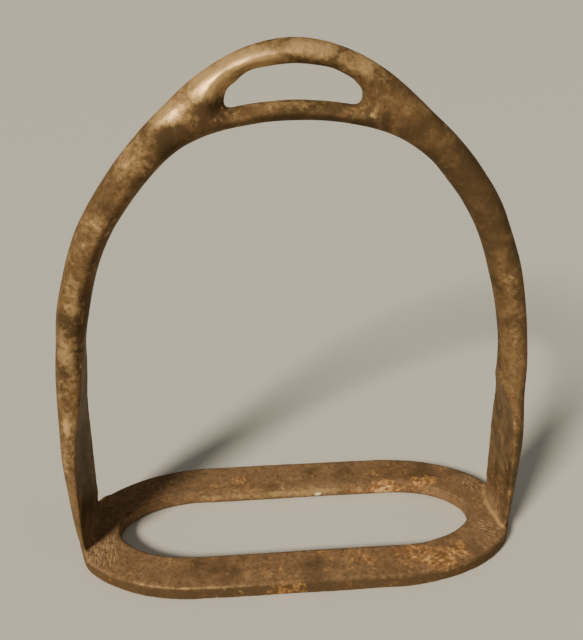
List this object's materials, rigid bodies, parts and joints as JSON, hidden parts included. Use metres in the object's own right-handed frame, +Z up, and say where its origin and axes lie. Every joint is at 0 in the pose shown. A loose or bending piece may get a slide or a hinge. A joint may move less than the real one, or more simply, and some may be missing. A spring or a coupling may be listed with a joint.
{
  "type": "stirrup iron",
  "caption": "Forged English riding stirrup iron: arched bow with a half-moon leather eye, flat-faced branch feet and an open oval tread.",
  "frame": {"origin": "centre of the tread's underside, on the surface that the iron stands on", "axes": "+X along the tread, towards the right branch seen from the front; +Y to the back; +Z up to the leather eye"},
  "size_m": [0.1286, 0.048, 0.1389],
  "materials": {
    "patinated_iron": "semi-gloss brown patina with worn bronze-coloured high spots",
    "rusted_iron": "brown patina with orange rust blooms and fine pitting",
    "weld_metal": "smooth, polished by wear"
  },
  "bodies": {
    "root": {"bow": "patinated_iron", "left_branch_foot": "patinated_iron", "right_branch_foot": "patinated_iron", "tread_ring": "rusted_iron", "left_foot_fillet": "weld_metal", "right_foot_fillet": "weld_metal"}
  },
  "joints": []
}
